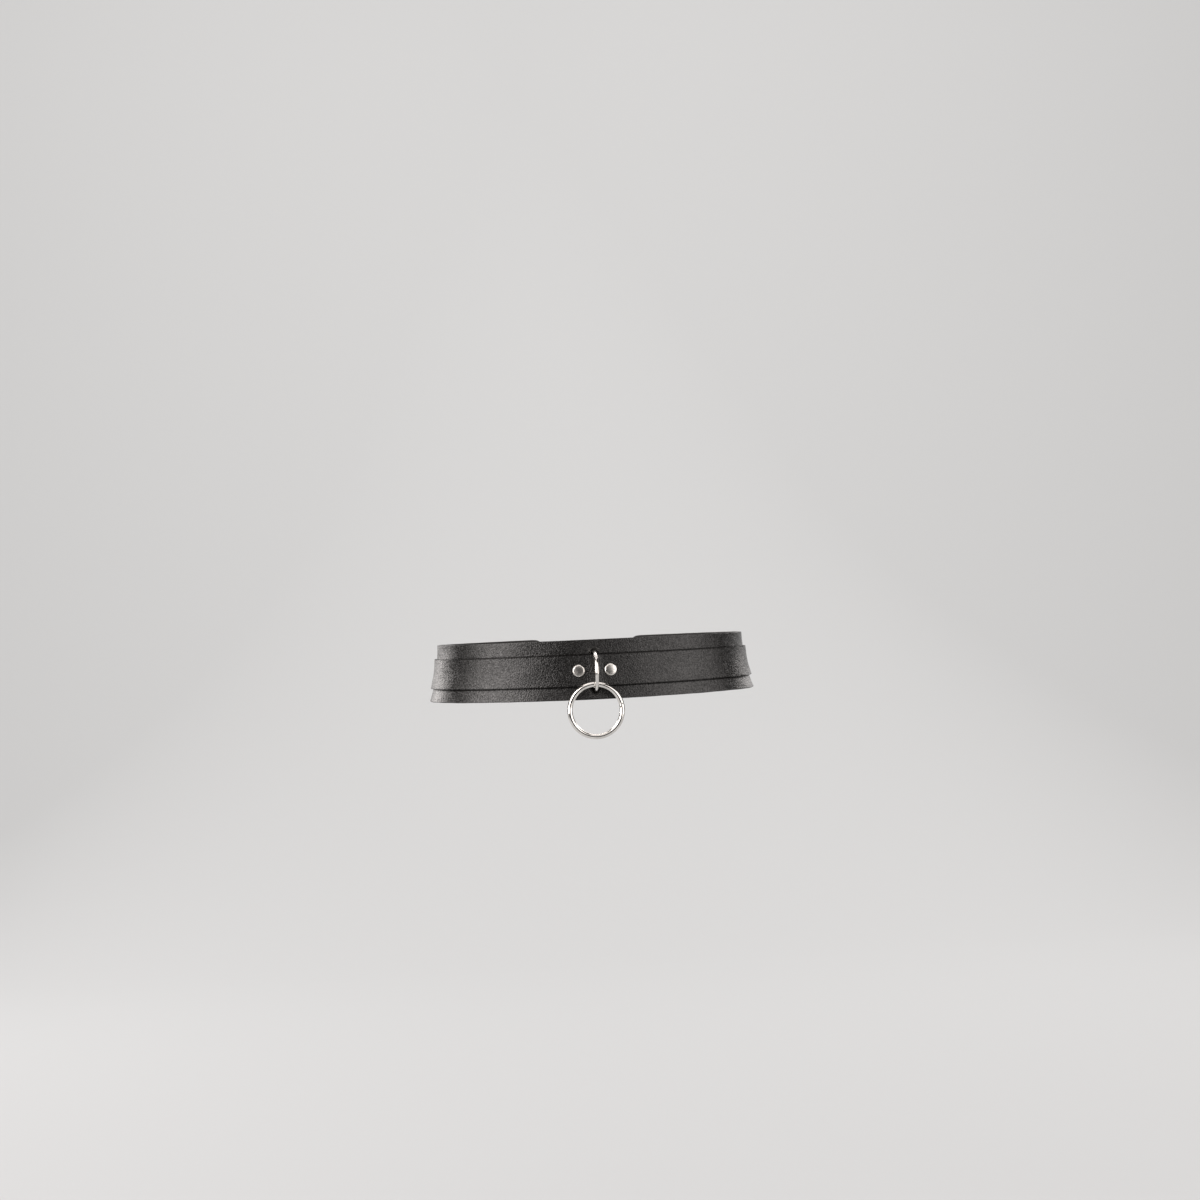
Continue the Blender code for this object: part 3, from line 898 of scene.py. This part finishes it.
def makeRoom():
    material, nodes, links, shader = newMaterial("paleRoom")
    where = nodes.new("ShaderNodeTexCoord").outputs["Object"]
    split = nodes.new("ShaderNodeSeparateXYZ")
    links.new(where, split.inputs["Vector"])
    back = addMath(nodes, links, "ADD", split.outputs["Y"], split.outputs["Z"])
    shade = addRange(nodes, links, back, room["shadeStart"], room["shadeStop"], 0.0, 1.0)
    color = addMix(nodes, links, shade, room["nearColor"], room["farColor"])
    links.new(color, shader.inputs["Base Color"])
    shader.inputs["Roughness"].default_value = 0.9
    shader.inputs["Emission Color"].default_value = (1.0, 0.985, 0.97, 1.0)
    shader.inputs["Emission Strength"].default_value = room["glow"]
    profile = [(room["front"], room["floor"]), (0.0, room["floor"])]
    curve = room["curve"]
    profile += arcPoints(room["back"] - curve, room["floor"] + curve, curve, -90, 0, 24)
    profile.append((room["back"], room["top"]))
    bm = bmesh.new()
    verts = [bm.verts.new((-room["halfWidth"], y, z)) for y, z in profile]
    edges = [bm.edges.new(pair) for pair in zip(verts, verts[1:])]
    grown = bmesh.ops.extrude_edge_only(bm, edges=edges)["geom"]
    far = [item for item in grown if isinstance(item, bmesh.types.BMVert)]
    bmesh.ops.translate(bm, vec=(2 * room["halfWidth"], 0, 0), verts=far)
    mesh = bpy.data.meshes.new("room")
    bm.to_mesh(mesh)
    bm.free()
    mesh.shade_smooth()
    mesh.materials.append(material)
    piece = bpy.data.objects.new("room", mesh)
    bpy.context.scene.collection.objects.link(piece)


makeRoom()

# Soft lights, as seen from the belt: where they stand, how wide and how tall they are, how strong
lights = {
    "leftBox": {"azimuth": -52.5, "height": 0.50, "away": 1.5, "wide": 1.10, "tall": 1.5, "power": 32.0},
    "rightBox": {"azimuth": 48.5, "height": 0.35, "away": 1.6, "wide": 2.0, "tall": 1.5, "power": 21.5},
    "frontTop": {"azimuth": -8.0, "height": 1.15, "away": 1.15, "wide": 1.2, "tall": 1.5, "power": 5.4},
    "topBox": {"azimuth": 180.0, "height": 1.5, "away": 0.10, "wide": 1.4, "tall": 1.5, "power": 10.0},
    "backLeft": {"azimuth": -132.0, "height": 0.6, "away": 1.7, "wide": 0.9, "tall": 1.2, "power": 17.0},
    "backRight": {"azimuth": 135.0, "height": 0.8, "away": 1.7, "wide": 1.2, "tall": 1.2, "power": 16.0},
    "wallWash": {"azimuth": 180.0, "height": 2.2, "away": 0.9, "wide": 3.0, "tall": 0.6, "power": 22.0},
}


studio = {
    "lightColor": (1.0, 0.95, 0.925),
    "washHeight": 0.2,       # where on the backdrop the wall's own light points
    "ambientColor": (0.80, 0.80, 0.81, 1.0),
    "ambient": 0.03,
    "beyondRoom": (0.72, 0.71, 0.70, 1.0),
}


def makeLight(name, facts):
    data = bpy.data.lights.new(name, "AREA")
    data.shape = "RECTANGLE"
    data.size = facts["wide"]
    data.size_y = facts["tall"]
    data.energy = facts["power"]
    data.color = studio["lightColor"]
    light = bpy.data.objects.new(name, data)
    turn = math.radians(facts["azimuth"])
    away = facts["away"]
    light.location = (away * math.sin(turn), -away * math.cos(turn), facts["height"])
    target = Vector((0, 0, 0))
    if name == "wallWash":
        target = Vector((0.0, room["back"], studio["washHeight"]))
    light.rotation_euler = (target - light.location).to_track_quat("-Z", "Y").to_euler()
    light.visible_camera = False
    bpy.context.scene.collection.objects.link(light)


for name, facts in lights.items():
    makeLight(name, facts)

# The camera sees a pale colour beyond the room, and everything else sees it dim
world = bpy.data.worlds.new("studio")
world.use_nodes = True
worldNodes = world.node_tree.nodes
worldLinks = world.node_tree.links
ambient = worldNodes["Background"]
ambient.inputs["Color"].default_value = studio["ambientColor"]
ambient.inputs["Strength"].default_value = studio["ambient"]
seen = worldNodes.new("ShaderNodeBackground")
seen.inputs["Color"].default_value = studio["beyondRoom"]
seen.inputs["Strength"].default_value = 1.0
ray = worldNodes.new("ShaderNodeLightPath")
choose = worldNodes.new("ShaderNodeMixShader")
worldLinks.new(ray.outputs["Is Camera Ray"], choose.inputs["Fac"])
worldLinks.new(ambient.outputs["Background"], choose.inputs[1])
worldLinks.new(seen.outputs["Background"], choose.inputs[2])
worldLinks.new(choose.outputs["Shader"], worldNodes["World Output"].inputs["Surface"])
bpy.context.scene.world = world
bpy.context.scene.view_settings.view_transform = "Standard"
print("room and lights made")

# The camera: level with the belt and almost straight in front, tipped a little to one side
camera = {
    "azimuth": -2.2,
    "roll": 2.62,
    "lookUp": 0.69,
    "away": 1.400,
    "aside": -0.00735,       # where the belt's centre stands in the picture
    "above": -0.05380,
    "lens": 52.56,
}


def makeCamera():
    turn = math.radians(camera["azimuth"])
    roll = math.radians(camera["roll"])
    tilt = math.radians(camera["lookUp"])
    right = Vector((math.cos(turn), math.sin(turn), 0.0))
    level = Vector((math.sin(turn), -math.cos(turn), 0.0))
    upright = Vector((0.0, 0.0, 1.0))
    back = level * math.cos(tilt) - upright * math.sin(tilt)
    up = upright * math.cos(tilt) + level * math.sin(tilt)
    pictureRight = right * math.cos(roll) - up * math.sin(roll)
    pictureUp = up * math.cos(roll) + right * math.sin(roll)
    data = bpy.data.cameras.new("camera")
    data.lens = camera["lens"]
    data.sensor_width = 36.0
    data.clip_start = 0.01
    data.clip_end = 50.0
    item = bpy.data.objects.new("camera", data)
    place = Matrix((pictureRight, pictureUp, back)).transposed().to_4x4()
    aside = pictureRight * camera["aside"] + pictureUp * camera["above"]
    place.translation = back * camera["away"] - aside
    item.matrix_world = place
    bpy.context.scene.collection.objects.link(item)
    bpy.context.scene.camera = item


makeCamera()
print("camera made")
